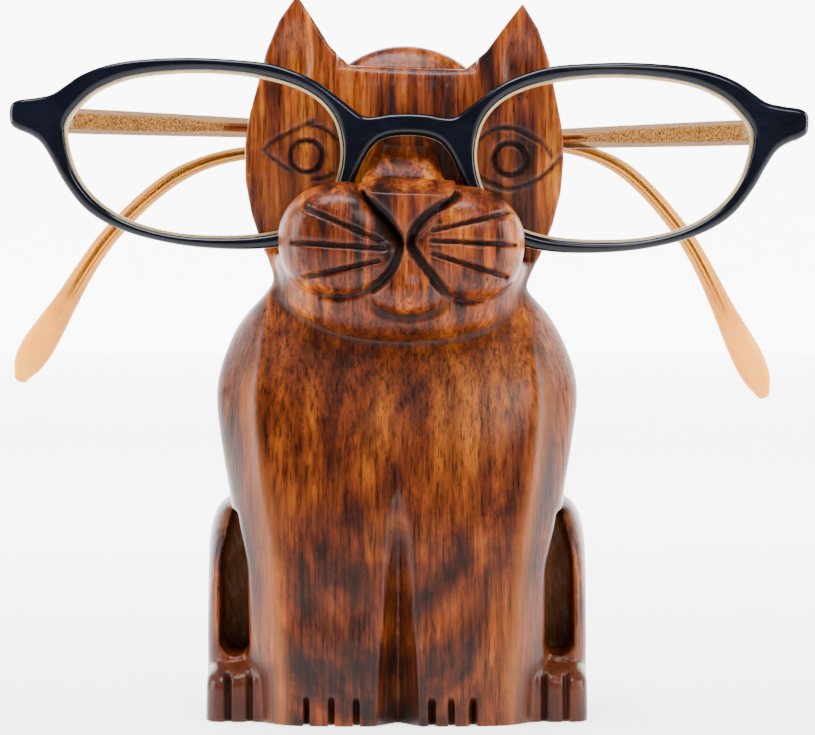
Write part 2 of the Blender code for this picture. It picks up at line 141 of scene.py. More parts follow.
# length, height above the hinge, section height, thickness
TEMPLE = (
    (-1.2, 0.0, 4.5, 2.5), (12.0, 0.0, 4.4, 2.5), (28.0, 0.0, 3.9, 2.4),
    (45.0, 0.0, 3.3, 2.3), (62.0, 0.0, 2.8, 2.3), (78.0, -0.1, 2.4, 2.3), (88.0, -0.3, 2.3, 2.3),
    (95.0, -0.7, 2.3, 2.3), (101.0, -1.5, 2.4, 2.3), (106.0, -2.9, 2.5, 2.3),
    (110.7, -5.2, 2.8, 2.3), (115.2, -8.8, 2.9, 2.3), (119.6, -13.3, 3.0, 2.3),
    (123.6, -18.2, 3.2, 2.3), (127.2, -24.0, 3.5, 2.4), (130.4, -30.0, 4.2, 2.5),
    (133.4, -35.4, 5.4, 2.6), (135.8, -39.6, 5.9, 2.6), (137.6, -43.0, 5.0, 2.4),
    (138.7, -45.6, 2.6, 1.6),
)
# each side's own bend behind the ear: how much sooner it comes and how much of the drop it has
BEND_SOONER = {"left": 0.0, "right": 3.0}
BEND_SHARE = {"left": 1.0, "right": 0.87}
BEND_FROM = 78.0
BEND_OVER = 30.0


# ------------------------ curves
def smooth_line(points, steps, closed=False):
    """A Catmull-Rom curve through the rows, as an array."""
    rows = np.array(points, dtype=float)
    if closed:
        padded = np.vstack([rows[-1:], rows, rows[:2]])
        spans = len(rows)
    else:
        padded = np.vstack([2 * rows[0] - rows[1], rows, 2 * rows[-1] - rows[-2]])
        spans = len(rows) - 1
    out = []
    for i in range(spans):
        a, b, c, d = padded[i : i + 4]
        for step in range(steps):
            t = step / steps
            square = (2 * a - 5 * b + 4 * c - d) * t**2
            cube = (3 * b - a - 3 * c + d) * t**3
            out.append(0.5 * (2 * b + (c - a) * t + square + cube))
    if not closed:
        out.append(rows[-1])
    return np.array(out)


def polygon_distance(loop, u, v):
    """Signed distance to a closed 2D loop on a grid: negative inside."""
    best = np.full(u.shape, 1e9)
    inside = np.zeros(u.shape, dtype=bool)
    for (ax, ay), (bx, by) in zip(loop, np.roll(loop, -1, axis=0)):
        ex, ey = bx - ax, by - ay
        t = np.clip(((u - ax) * ex + (v - ay) * ey) / (ex * ex + ey * ey + 1e-12), 0, 1)
        best = np.minimum(best, (u - ax - t * ex) ** 2 + (v - ay - t * ey) ** 2)
        if ay != by:
            crosses = ((ay <= v) != (by <= v)) & (u < (v - ay) / (by - ay) * ex + ax)
            inside ^= crosses
    best = np.sqrt(best)
    return np.where(inside, -best, best)


def stroke_distance(line, u, v):
    """Distance to an open polyline, and how far along it the nearest point is, 0 to 1."""
    best = np.full(u.shape, 1e9)
    where = np.zeros(u.shape)
    count = len(line) - 1
    for i in range(count):
        (ax, ay), (bx, by) = line[i], line[i + 1]
        ex, ey = bx - ax, by - ay
        t = np.clip(((u - ax) * ex + (v - ay) * ey) / (ex * ex + ey * ey + 1e-12), 0, 1)
        d = (u - ax - t * ex) ** 2 + (v - ay - t * ey) ** 2
        where = np.where(d < best, (i + t) / count, where)
        best = np.minimum(best, d)
    return np.sqrt(best), where


# ------------------------ solids as distance fields
def soft_union(a, b, k):
    h = np.clip(0.5 + 0.5 * (b - a) / k, 0, 1)
    return b + (a - b) * h - k * h * (1 - h)


def soft_cut(a, b, k):
    """a without b."""
    return -soft_union(-a, b, k)


def soft_common(a, b, k):
    return -soft_union(-a, -b, k)


def ellipsoid(p, center, radii):
    q = [(p[i] - center[i]) / radii[i] for i in range(3)]
    near = np.sqrt(q[0] ** 2 + q[1] ** 2 + q[2] ** 2)
    slope = np.sqrt(sum((q[i] / radii[i]) ** 2 for i in range(3)))
    return near * (near - 1) / np.maximum(slope, 1e-6)


def rounded_box(p, low, high, radius):
    q = [np.abs(p[i] - (low[i] + high[i]) / 2) - (high[i] - low[i]) / 2 + radius for i in range(3)]
    outside = np.sqrt(sum(np.maximum(value, 0) ** 2 for value in q))
    return outside + np.minimum(np.maximum(np.maximum(q[0], q[1]), q[2]), 0) - radius


def plane(p, point, normal):
    n = np.array(normal, dtype=float)
    n /= np.linalg.norm(n)
    return sum((p[i] - point[i]) * n[i] for i in range(3))


def to_mesh(name, field, low, voxel):
    """The zero surface of a field sampled on a grid."""
    grid = openvdb.FloatGrid(float(field.max()))
    grid.copyFromArray(np.ascontiguousarray(field, dtype=np.float32))
    points, _, quads = grid.convertToPolygons(isovalue=0.0, adaptivity=0.0)
    points = points.astype(float) * voxel + np.array(low)
    mesh = bpy.data.meshes.new(name)
    mesh.vertices.add(len(points))
    mesh.vertices.foreach_set("co", (points * MM).astype(np.float32).ravel())
    mesh.loops.add(len(quads) * 4)
    mesh.loops.foreach_set("vertex_index", quads[:, ::-1].astype(np.int32).ravel())
    mesh.polygons.add(len(quads))
    mesh.polygons.foreach_set("loop_start", np.arange(0, len(quads) * 4, 4, dtype=np.int32))
    mesh.update(calc_edges=True)
    mesh.validate()
    item = bpy.data.objects.new(name, mesh)
    bpy.context.scene.collection.objects.link(item)
    bm = bmesh.new()
    bm.from_mesh(mesh)
    bmesh.ops.remove_doubles(bm, verts=bm.verts, dist=1e-7)
    bmesh.ops.delete(bm, geom=crumbs(bm), context="VERTS")
    if bm.calc_volume(signed=True) < 0:
        bmesh.ops.reverse_faces(bm, faces=bm.faces)
    bm.to_mesh(mesh)
    bm.free()
    mesh.shade_smooth()
    return item


def crumbs(bm):
    """Every vertex that isn't joined to the biggest piece of a mesh."""
    groups = []
    seen = set()
    for first in bm.verts:
        if first in seen:
            continue
        seen.add(first)
        group = [first]
        for vertex in group:
            for edge in vertex.link_edges:
                other = edge.other_vert(vertex)
                if other not in seen:
                    seen.add(other)
                    group.append(other)
        groups.append(group)
    groups.sort(key=len)
    return [vertex for group in groups[:-1] for vertex in group]


def get_points(item):
    flat = np.empty(len(item.data.vertices) * 3, dtype=np.float32)
    item.data.vertices.foreach_get("co", flat)
    return flat.reshape(-1, 3).astype(float) / MM


def set_points(item, points):
    item.data.vertices.foreach_set("co", (points * MM).astype(np.float32).ravel())
    item.data.update()


def set_value(item, name, values):
    layer = item.data.attributes.new(name, "FLOAT", "POINT")
    layer.data.foreach_set("value", np.asarray(values, dtype=np.float32))


def relax(item, times):
    """Even out the grid's steps by lightly smoothing every vertex."""
    bm = bmesh.new()
    bm.from_mesh(item.data)
    for _ in range(times):
        bmesh.ops.smooth_vert(
            bm, verts=bm.verts, factor=0.4, use_axis_x=True, use_axis_y=True, use_axis_z=True
        )
    bm.to_mesh(item.data)
    bm.free()


# ------------------------ the carved cat
# z, half width, front y, back y
TORSO = (
    (-6.0, 25.4, -22.0, 22.4), (4.0, 25.6, -22.2, 22.8), (14.0, 26.2, -22.4, 23.2),
    (24.0, 27.0, -22.4, 23.0), (33.0, 28.0, -22.2, 21.8), (40.0, 28.9, -21.6, 19.8),
    (48.0, 30.2, -20.4, 17.2), (55.0, 30.9, -18.6, 14.8), (60.0, 30.3, -16.6, 12.8),
    (65.0, 28.4, -14.2, 10.6), (69.0, 26.0, -12.4, 9.0), (73.0, 22.6, -11.2, 8.0),
    (78.0, 19.0, -10.0, 7.0),
)
# the line on each side where the chest's front turns into the flank: z, x, y
RIDGE = (
    (-6.0, 18.6, -21.8), (5.0, 18.8, -22.0), (28.0, 20.5, -21.6), (41.0, 22.7, -20.2),
    (54.0, 24.6, -16.8), (62.0, 24.6, -13.0), (72.0, 22.0, -9.0),
)
# half the head seen from the front: x, z
HEAD_SIDE = (
    (9.8, 111.4), (13.4, 114.6), (16.4, 119.0), (19.4, 123.2), (22.3, 118.8), (24.3, 113.6),
    (25.7, 107.6), (26.9, 102.5), (27.5, 97.0), (27.2, 91.0), (26.0, 85.5), (24.0, 80.0),
    (21.0, 74.5), (16.0, 70.0), (0.0, 68.0),
)
# the arch between the front legs: z, half width
ARCH = (
    (0.0, 3.7), (12.0, 3.3), (18.0, 2.8), (28.0, 2.6), (34.0, 2.0), (38.0, 1.1), (41.0, 0.05),
    (60.0, 0.05),
)
# carved lines on the face: x, z
EYE_LINES = {
    "left": (
        ((-24.2, 96.4), (-22.4, 98.1), (-20.3, 99.3), (-17.8, 100.7), (-15.4, 101.9)),
        ((-16.4, 100.9), (-14.6, 100.6), (-12.9, 99.8), (-10.8, 98.1)),
        ((-24.2, 96.4), (-22.2, 94.8), (-20.1, 93.4), (-19.2, 92.9)),
        ((-15.6, 91.6), (-13.6, 91.9), (-11.8, 92.9)),
    ),
    "right": (
        (
            (12.3, 99.0), (13.6, 100.3), (15.3, 101.3), (17.4, 101.7), (19.4, 101.4), (21.2, 100.6),
            (23.6, 99.2), (25.2, 97.0),
        ),
        ((27.0, 97.3), (25.0, 94.8), (22.4, 92.6), (18.3, 91.2), (14.5, 92.2), (12.6, 93.2)),
    ),
}
IRIS = {"left": (-16.8, 95.6), "right": (18.1, 96.3)}
PUFF_EDGES = (
    ((-6.6, 89.0), (-4.7, 87.0), (-2.0, 84.5), (-0.2, 81.3), (-0.9, 77.4), (-3.1, 74.4), (-5.4, 72.8)),
    ((9.0, 89.2), (6.2, 87.4), (3.4, 85.0), (1.5, 81.5), (3.2, 78.4), (5.8, 75.3), (8.2, 72.6)),
)
MOUTH = (
    ((-5.2, 72.9), (-7.9, 72.0), (-10.6, 71.6), (-13.4, 71.9)),
    ((8.0, 72.6), (10.0, 71.8), (12.0, 71.6), (14.2, 72.1)),
)
CHIN = ((-5.4, 72.8), (-4.9, 70.9), (-2.8, 69.2), (1.3, 68.5), (5.4, 69.3), (7.6, 70.9), (8.2, 72.6))
WHISKERS = (
    ((-16.0, 86.3), (-3.4, 81.3)), ((-18.2, 80.5), (-2.6, 80.0)), ((-15.9, 74.7), (-3.4, 78.0)),
    ((5.2, 83.3), (17.9, 86.7)), ((4.9, 81.6), (19.0, 81.4)), ((5.2, 79.5), (17.9, 76.0)),
)
TOES = (-15.2, -10.9, -6.8, 5.9, 9.2, 12.8)  # the slits between the front toes
HIND_TOES = ((24.9, 0.6), (28.6, 0.7))  # place and width of the slits on each hind paw


def ease(value, low, high):
    """A smooth step from 0 at low to 1 at high."""
    t = np.clip((value - low) / (high - low), 0, 1)
    return t * t * (3 - 2 * t)


def wobble(p, scale, seed):
    """A smooth repeatable unevenness, as hand tools leave."""
    rng = np.random.default_rng(seed)
    total = 0
    for _ in range(5):
        k = rng.normal(size=3) / scale
        total = total + np.sin(p[0] * k[0] + p[1] * k[1] + p[2] * k[2] + rng.uniform(0, math.tau))
    return total / 5


def table(rows, z, column):
    """Rows looked up along the z axis of a grid."""
    line = smooth_line(rows, 8)
    return np.interp(z[0, 0, :], line[:, 0], line[:, column]).astype(np.float32)[None, None, :]


def body_field(p):
    """Chest and front legs in one slab, with thighs, hollows and paws, and a mask of painted shade in its
    grooves.
    """
    x, y, z = p
    ax = np.abs(x)
    q = (ax, y, z)
    half, front, back = (table(TORSO, z, column) for column in (1, 2, 3))
    mid = (front + back) / 2
    deep = (back - front) / 2
    u = ax / half
    v = np.abs(y - mid) / deep
    # square-cornered in front, rounder behind
    power = np.where(y < mid, 4.2, 2.5)
    r = (u**power + v**power) ** (1 / power)
    body = (r - 1) * np.minimum(half, deep) * 0.92
    body = soft_common(body, z - BODY_TOP_Z, 4.0)
    ridge_x = table(RIDGE, z, 1)
    ridge_y = table(RIDGE, z, 2)
    flank = (ax - ridge_x) * 0.80 - (y - ridge_y) * 0.60
    body = soft_common(body, flank, 0.8)
    # thigh: a disc seen from the side, with a flat outer face
    along = (y - THIGH_CENTER[0]) / THIGH_RADII[0]
    up = (z - THIGH_CENTER[1]) / THIGH_RADII[1]
    disc = (np.sqrt(along**2 + up**2) - 1) * 15.5 + THIGH_ROUND
    outer = ax - THIGH_OUTER_X + THIGH_ROUND
    drum = np.sqrt(np.maximum(disc, 0) ** 2 + np.maximum(outer, 0) ** 2) - THIGH_ROUND
    drum = np.maximum(drum, 14.0 - ax)
    body = soft_union(body, drum, 0.9)
    # the chipped hollow between the thigh and the front leg
    chips = 0.35 * np.sin(z * 1.1 + x * 2.3) * np.sin(x * 3.1 + z * 0.33)
    wide = 2.5 - 1.9 * ease(z, 25.0, 36.0) - 1.2 * ease(-z, -13.0, -10.5)
    hollow = soft_common(np.abs(ax - HOLLOW_X) - wide, y - 3.0 - chips, 1.2)
    hollow = soft_common(hollow, 10.8 - z, 1.0)
    body = soft_cut(body, soft_common(hollow, z - 35.5, 1.0), 0.7)
    # paws: a block with a sloping top behind, a soft swell in front
    hind = rounded_box(q, (17.5, -16.0, -6.0), (32.4, 14.0, 10.4), 3.2)
    hind = soft_common(hind, plane(q, (28.0, -11.0, 10.0), (0.15, -0.45, 0.85)), 1.5)
    body = soft_union(body, hind, 0.6)
    swell = ease(-z, -21.0, -12.0) * ease(ax, 3.2, 5.2) * ease(-ax, -20.0, -17.6) * ease(-y, 10.0, 14.0)
    body = body - 0.3 * swell
    body = body + 0.10 * wobble(p, 4.5, 3)
    # the V between the front legs, deeper towards the floor
    reach = table(ARCH, z, 1)
    depth = np.clip((42.0 - z) / 7.0, 0.0, 5.0)
    arch = depth * np.clip(1 - np.abs(x - 0.2) / reach, 0, 1) * ease(-y, 8.0, 12.0)
    body = body + arch
    # painted shade in the V, darker towards the floor
    groove = np.clip(arch / 2.4, 0, 1) ** 1.5 * (0.35 + 0.4 * ease(-z, -16.0, -2.0))
    # painted shade in the slits between the front and hind toes
    for toe in TOES:
        slit = np.clip(1 - np.abs(x - toe) / 0.5, 0, 1) ** 0.6
        slit = slit * ease(-z, -5.6, -3.2) * ease(-y, 12.0, 14.0)
        body = body + 2.4 * slit
        groove = np.maximum(groove, slit)
    for toe, wide in HIND_TOES:
        slit = np.clip(1 - np.abs(ax - toe) / wide, 0, 1)
        slit = slit * ease(-z, -8.8, -6.6) * ease(-y, 9.0, 11.0)
        body = body + 1.5 * slit
        groove = np.maximum(groove, slit)
    return body, groove


def head_field(p):
    """The leaning head, worked out in its own upright space."""
    c, s = math.cos(HEAD_LEAN), math.sin(HEAD_LEAN)
    x = p[0] * c - (p[2] - HEAD_PIVOT_Z) * s
    z = p[0] * s + (p[2] - HEAD_PIVOT_Z) * c + HEAD_PIVOT_Z
    y = p[1]
    q = (x, y, z)
    ax = np.abs(x)
    mirrored = (ax, y, z)
    profile = np.array(HEAD_SIDE)
    sheets = Sheets()
    loop = np.vstack([profile, profile[::-1][1:] * (-1, 1)])
    outline = sheets.look_up(polygon_distance(loop, sheets.u, sheets.v), x, z)
    face_y = FACE_Y + 0.0022 * x**2
    board = soft_common(outline, np.maximum(face_y - y, y - 14.0), 0.9)
    board = soft_common(board, np.sqrt(x**2 + (y + 55.0) ** 2) - 61.6, 2.5)
    # a bevel along the top edge, scooped ears with thinned backs, and the crown behind
    bevel = np.where(ax < 12.0, plane(q, (0.0, FACE_Y + 1.2, 111.4), (0.0, -0.74, 0.67)), -5.0)
    board = soft_common(board, bevel, 0.3)
    scoop = ellipsoid(mirrored, (19.6, FACE_Y - 2.5, 112.2), (4.6, 5.0, 8.6))
    board = soft_cut(board, scoop, 0.5)
    thin = plane(mirrored, (19.0, 4.4, 110.0), (0.1, 1.0, 0.55))
    board = soft_common(board, np.where(z > 100, thin, thin - 4.0), 1.5)
    crown = ellipsoid(q, (0.0, 1.6, 102.4), (15.4, 6.0, 13.2))
    head = soft_union(board, crown, 0.5)
    # upright flutes on the brow
    flute = 0.30 * np.cos((x + 0.5) * math.tau / 4.7)
    flute = flute * ease(z, 100.5, 103.5) * ease(-ax, -13.5, -9.5) * ease(-y, 3.0, 5.5)
    head = head + flute * ease(-z, -109.6, -107.8)
    # jaw, chin and cheeks
    jaw = ellipsoid(q, (0.0, -7.2, 77.6), (21.4, 15.2, 9.2))
    bulb = ellipsoid(q, (0.0, -4.6, 71.6), (21.6, 15.2, 9.8))
    head = soft_union(head, soft_union(jaw, bulb, 2.0), 2.4)
    chin = ellipsoid(q, (0.9, -15.4, 73.4), (7.6, 7.6, 5.4))
    head = soft_union(head, chin, 1.2)
    puff = ellipsoid(mirrored, (10.0, -14.4, 82.3), (10.8, 8.9, 8.9))
    low_puff = ellipsoid(mirrored, (8.8, -14.0, 77.6), (10.4, 8.6, 6.8))
    head = soft_union(head, soft_common(soft_union(puff, low_puff, 4.0), -22.9 - y, 2.0), 0.6)
    # the ridge of the nose, and the fan-shaped tip under it
    low = np.clip((98.2 - z) / 8.0, 0, 1)
    half = 3.4 + 2.6 * low
    front = -7.6 - 8.2 * low
    ridge = np.maximum(np.maximum(ax - half - 1.4, front - y), (ax - half) * 0.8 + (front - y) * 0.6)
    ridge = np.maximum(np.maximum(ridge, y), np.maximum(z - 101.2, 78.0 - z))
    head = soft_union(head, ridge, 0.5)
    fan_half = np.clip(1.0 + (z - 81.2) * 0.90, 0.2, 7.8)
    fan_front = -22.7 + 2.0 * np.maximum(z - 89.2, 0)
    fan = np.maximum(np.maximum(np.abs(x - 0.9) - fan_half, fan_front - y), np.maximum(y + 8.0, z - 92.0))
    head = soft_union(head, np.maximum(fan, 80.4 - z), 0.6)
    # the slots that the rims rest in
    slot = np.maximum(np.maximum(SLOT_FRONT_Y - y, y - face_y), SLOT_FLOOR_Z - z)
    head = soft_cut(head, soft_common(slot, SLOT_INNER_X - ax, 0.8), 0.4)
    head = head + 0.06 * wobble(q, 3.2, 5)
    # carved lines, each with a width and a depth
    eyes = []
    for name, lines in EYE_LINES.items():
        eyes.append((circle(IRIS[name], 2.8), 0.42, 1.0))
        eyes += [(smooth_line(line, 6), 0.36, 0.75) for line in lines]
    mouth = [(smooth_line(line, 6), 0.95, 1.5) for line in PUFF_EDGES]
    mouth += [(smooth_line(line, 6), 0.6, 0.85) for line in MOUTH]
    mouth.append((smooth_line(CHIN, 6), 0.9, 0.75))
    mouth += [(smooth_line(line, 2), 0.5, 1.25) for line in WHISKERS]
    # painted shade in the carved lines, darkest where they cut deepest
    groove = 0
    for lines, near, far in ((eyes, -12.5, -3.0), (mouth, -40.0, -13.0)):
        cut = sheets.look_up(sheets.strokes(lines), x, z)
        cut = cut * ease(y, near - 1.0, near) * ease(-y, -far, -far + 1.5)
        head = head + cut
        groove = np.maximum(groove, np.clip(cut / (0.32 if lines is eyes else 0.75), 0, 1) ** 1.3)
    return head, groove


def circle(center, radius):
    angles = np.linspace(0, math.tau, 32)
    x = center[0] + radius * np.cos(angles)
    return np.stack([x, center[1] + radius * np.sin(angles)], axis=1)


class Sheets:
    """Flat drawings of the head seen from the front, looked up at many places."""

    STEP = 0.16
    LOW = (-37.0, 58.0)
    HIGH = (37.0, 130.0)

    def __init__(self):
        axes = [np.arange(self.LOW[i], self.HIGH[i], self.STEP) for i in range(2)]
        self.u, self.v = np.meshgrid(*axes, indexing="ij")

    def strokes(self, lines):
        """Cuts that are deepest along their lines and fade towards their ends."""
        sheet = np.zeros(self.u.shape)
        for line, width, depth in lines:
            low = line.min(axis=0) - width - 1
            high = line.max(axis=0) + width + 1
            a = [int((low[i] - self.LOW[i]) / self.STEP) for i in range(2)]
            b = [int((high[i] - self.LOW[i]) / self.STEP) for i in range(2)]
            part = (slice(a[0], b[0]), slice(a[1], b[1]))
            distance, along = stroke_distance(line, self.u[part], self.v[part])
            fade = 0.45 + 0.55 * np.sin(np.clip(along, 0.03, 0.97) * math.pi) ** 0.4
            if np.allclose(line[0], line[-1]):
                fade = 1
            cut = depth * fade * np.clip(1 - distance / width, 0, 1) ** 0.7
            sheet[part] = np.maximum(sheet[part], cut)
        return sheet

    def look_up(self, sheet, u, v):
        """A sheet's value at any places, blended between its grid points."""
        fu = np.clip((u - self.LOW[0]) / self.STEP, 0, sheet.shape[0] - 1.001)
        fv = np.clip((v - self.LOW[1]) / self.STEP, 0, sheet.shape[1] - 1.001)
        iu, iv = fu.astype(np.int32), fv.astype(np.int32)
        fu, fv = fu - iu, fv - iv
        sheet = sheet.astype(np.float32)
        near = sheet[iu, iv] * (1 - fu) + sheet[iu + 1, iv] * fu
        far = sheet[iu, iv + 1] * (1 - fu) + sheet[iu + 1, iv + 1] * fu
        return near * (1 - fv) + far * fv


def read_grid(grid, cell):
    """A grid's values at fractional cells, blended from the eight corners."""
    base = [np.clip(np.floor(cell[:, i]).astype(int), 0, grid.shape[i] - 2) for i in range(3)]
    part = [cell[:, i] - base[i] for i in range(3)]
    value = 0
    for corner in np.ndindex(2, 2, 2):
        weight = 1
        for i in range(3):
            weight = weight * (part[i] if corner[i] else 1 - part[i])
        value = value + weight * grid[tuple(base[i] + corner[i] for i in range(3))]
    return value


def make_cat():
    """The whole cat from its two fields, with the masks that its wood colour, painted shade and painted
    highlight are laid by.
    """
    margin = 2.5
    outside = 30.0
    low = CAT_LOW - margin
    high = CAT_HIGH + margin
    axes = [np.arange(low[i], high[i], VOXEL, dtype=np.float32) for i in range(3)]
    count = [len(axis) for axis in axes]
    cat = np.full(count, outside, dtype=np.float32)
    groove = np.zeros(count, dtype=np.float32)
    top = int(np.searchsorted(axes[2], BODY_FIELD_TO_Z))
    bottom = int(np.searchsorted(axes[2], HEAD_FIELD_FROM_Z))
    body, shade_marks = body_field(np.meshgrid(axes[0], axes[1], axes[2][:top], indexing="ij"))
    cat[:, :, :top] = body
    groove[:, :, :top] = shade_marks
    head, shade_marks = head_field(np.meshgrid(axes[0], axes[1], axes[2][bottom:], indexing="ij"))
    # painted shade: a dark line in the crease where the head meets the body
    crease_shade = np.clip(1 - (np.abs(cat[:, :, bottom:]) + np.abs(head)) / 1.3, 0, 1) * 0.8
    cat[:, :, bottom:] = soft_union(cat[:, :, bottom:], head, 0.5)
    groove[:, :, bottom:] = np.maximum(np.maximum(groove[:, :, bottom:], crease_shade), shade_marks)
    cat = np.maximum(cat, -axes[2][None, None, :])
    item = to_mesh("cat_carving", cat, low, VOXEL)
    relax(item, 1)
    points = get_points(item)
    points[:, 2] = np.maximum(points[:, 2], 0.0)
    set_points(item, points)
    # masks for the wood's colour, 0 to 1: painted shade in the grooves and the tooled hollow, a painted
    # highlight along the ridges, darker hind paws and where the head's figure takes over
    set_value(item, "groove", read_grid(groove, (points - low) / VOXEL))
    x, y, z = points.T
    ax = np.abs(x)
    # the tooled hollow: rougher, and darkened with painted shade
    rough = ease(ax, 25.0, 26.0) * ease(-ax, -31.0, -30.0) * ease(y, -5.0, -1.0) * ease(-y, -6.0, -4.5)
    set_value(item, "tooling_and_shade", rough * ease(z, 10.5, 12.0) * ease(-z, -35.5, -33.0))
    set_value(item, "paws", ease(ax, 19.5, 21.0) * ease(-z, -11.0, -9.0))
    # painted highlight: a lighter band along the ridge where the chest turns into the flank
    ridge = np.interp(z, [row[0] for row in RIDGE], [row[1] for row in RIDGE])
    near = np.clip(1 - np.abs(ax - ridge - 0.6) / 2.2, 0, 1)
    set_value(item, "ridge", near * ease(-y, 6.0, 10.0) * ease(-z, -62.0, -56.0))
    set_value(item, "head", ease(z, 64.0, 72.0))
    return item


# ------------------------ the front of the glasses
def offset_loop(loop, distance):
    """A closed loop moved outwards."""
    along = np.roll(loop, -1, axis=0) - np.roll(loop, 1, axis=0)
    along /= np.linalg.norm(along, axis=1)[:, None]
    following = np.roll(loop, -1, axis=0)
    area = np.sum(loop[:, 0] * following[:, 1] - loop[:, 1] * following[:, 0])
    out = np.stack([along[:, 1], -along[:, 0]], axis=1)
    return loop + out * distance * (1 if area > 0 else -1)


def front_outline():
    half = np.array(OUTLINE)
    other = half[1:-1][::-1] * (-1, 1)
    return smooth_line(np.vstack([half, other]), 5, closed=True)


def opening(side, grow):
    loop = offset_loop(smooth_line(OPENING, 6, closed=True), grow)
    return (loop + (LENS_X, 0)) * (side, 1)


def place_glasses(points):
    """Bend flat front points round the face, roll them and put them on the nose."""
    points = points.copy()
    points[:, 1] += points[:, 0] ** 2 / (2 * WRAP_RADIUS)
    c, s = math.cos(ROLL), math.sin(ROLL)
    x = points[:, 0] * c + points[:, 2] * s
    z = -points[:, 0] * s + points[:, 2] * c
    return np.stack([x, points[:, 1], z], axis=1) + GLASSES


def front_layer(name, low_y, high_y, lip, edges, voxel):
    """One acetate layer: the outline less two openings, with rounded edges."""
    margin = 1.2
    outline = front_outline()
    low = np.array([outline[:, 0].min() - margin, low_y - margin, outline[:, 1].min() - margin])
    high = np.array([outline[:, 0].max() + margin, high_y + margin, outline[:, 1].max() + margin])
    axes = [np.arange(low[i], high[i], voxel) for i in range(3)]
    u, v = np.meshgrid(axes[0], axes[2], indexing="ij")
    flat = polygon_distance(outline, u, v)
    for side in SIDES.values():
        flat = np.maximum(flat, -polygon_distance(opening(side, -lip), u, v))
    flat = flat[:, None, :]
    y = axes[1][None, :, None]
    field = None
    for depth, radius in ((low_y - y, edges[0]), (y - high_y, edges[1])):
        a = np.maximum(flat + radius, 0)
        b = np.maximum(depth + radius, 0)
        part = np.sqrt(a * a + b * b) + np.minimum(np.maximum(flat + radius, depth + radius), 0) - radius
        field = part if field is None else np.maximum(field, part)
    item = to_mesh(name, field, low, voxel)
    relax(item, 2)
    set_points(item, place_glasses(get_points(item)))
    return item


def make_lens(name, side):
    """A thin meniscus, bulging forwards, with its rim inside the pale layer's groove."""
    loop = opening(side, LENS_GROOVE - PALE_LIP)
    center = loop.mean(axis=0)
    rim_y = (FRONT_Y + PALE_BACK_Y) / 2 + 0.1
    rings = 14
    bm = bmesh.new()
    layers = []
    for shift in (-LENS_HALF_THICK, LENS_HALF_THICK):
        rows = []
        for ring in range(1, rings + 1):
            t = ring / rings
            y = rim_y - LENS_BULGE * (1 - t * t) + shift
            flat = center + (loop - center) * t
            rows.append([bm.verts.new((x, y, z)) for x, z in flat])
        hub = bm.verts.new((center[0], rim_y - LENS_BULGE + shift, center[1]))
        layers.append((rows, hub))
    count = len(loop)
    for rows, hub in layers:
        for i in range(count):
            j = (i + 1) % count
            bm.faces.new((hub, rows[0][i], rows[0][j]))
            for a, b in zip(rows, rows[1:]):
                bm.faces.new((a[i], b[i], b[j], a[j]))
    front_rim = layers[0][0][-1]
    back_rim = layers[1][0][-1]
    for i in range(count):
        j = (i + 1) % count
        bm.faces.new((front_rim[i], back_rim[i], back_rim[j], front_rim[j]))
    bmesh.ops.recalc_face_normals(bm, faces=bm.faces)
    return from_bmesh(name, bm, place_glasses)


def from_bmesh(name, bm, place=None):
    """An object from a bmesh in mm, its points first passed through place."""
    mesh = bpy.data.meshes.new(name)
    bm.to_mesh(mesh)
    bm.free()
    item = bpy.data.objects.new(name, mesh)
    bpy.context.scene.collection.objects.link(item)
    flat = np.empty(len(mesh.vertices) * 3, dtype=np.float32)
    mesh.vertices.foreach_get("co", flat)
    points = flat.reshape(-1, 3).astype(float)
    set_points(item, place(points) if place else points)
    mesh.shade_smooth()
    mesh.set_sharp_from_angle(angle=math.radians(50))
    return item


# ------------------------ temples
def place_temple(name):
    """From the folded temple's own space, x inwards from the hinge, to the model's."""
    side = SIDES[name]
    turn = Matrix.Rotation(ROLL, 3, "Y") @ Matrix.Rotation(-side * FOLD[name], 3, "Z")
    matrix = np.array(turn)

    def place(points):
        return points @ matrix.T + HINGES[name]

    return place


def temple_line(name, steps):
    """The centreline with this side's own bend behind the ear."""
    rows = []
    for length, drop, height, width in TEMPLE:
        sooner = BEND_SOONER[name] * min(max((length - BEND_FROM) / BEND_OVER, 0.0), 1.0)
        rows.append((length - sooner, drop * BEND_SHARE[name], height, width))
    return smooth_line(rows, steps)


def tube_rings(name, rows, sides, power=0.75):
    """Rounded sections square to a line of (length, height, section height, thickness)."""
    side = SIDES[name]
    rings = []
    for i, (length, drop, height, width) in enumerate(rows):
        before, after = rows[max(i - 1, 0)], rows[min(i + 1, len(rows) - 1)]
        along = np.array((after[0] - before[0], after[1] - before[1]))
        along /= np.linalg.norm(along)
        up = np.array((-along[1], along[0]))
        angles = math.tau * (np.arange(sides) + 0.5) / sides
        c, s = np.cos(angles), np.sin(angles)
        h = height / 2 * np.sign(s) * np.abs(s) ** power
        t = width / 2 * np.sign(c) * np.abs(c) ** power
        sag = -length * math.tan(DROOP[name])
        ring = np.stack([-side * (length + up[0] * h), TEMPLE_OFFSET + t, drop + up[1] * h + sag], axis=1)
        rings.append(ring)
    return rings


def skin(name, rings, place):
    """One closed surface over a row of rings."""
    bm = bmesh.new()
    rows = [[bm.verts.new(point) for point in ring] for ring in rings]
    count = len(rows[0])
    for a, b in zip(rows, rows[1:]):
        for i in range(count):
            j = (i + 1) % count
            bm.faces.new((a[i], a[j], b[j], b[i]))
    bm.faces.new(rows[0])
    bm.faces.new(rows[-1])
    bmesh.ops.recalc_face_normals(bm, faces=bm.faces)
    return from_bmesh(name, bm, place)


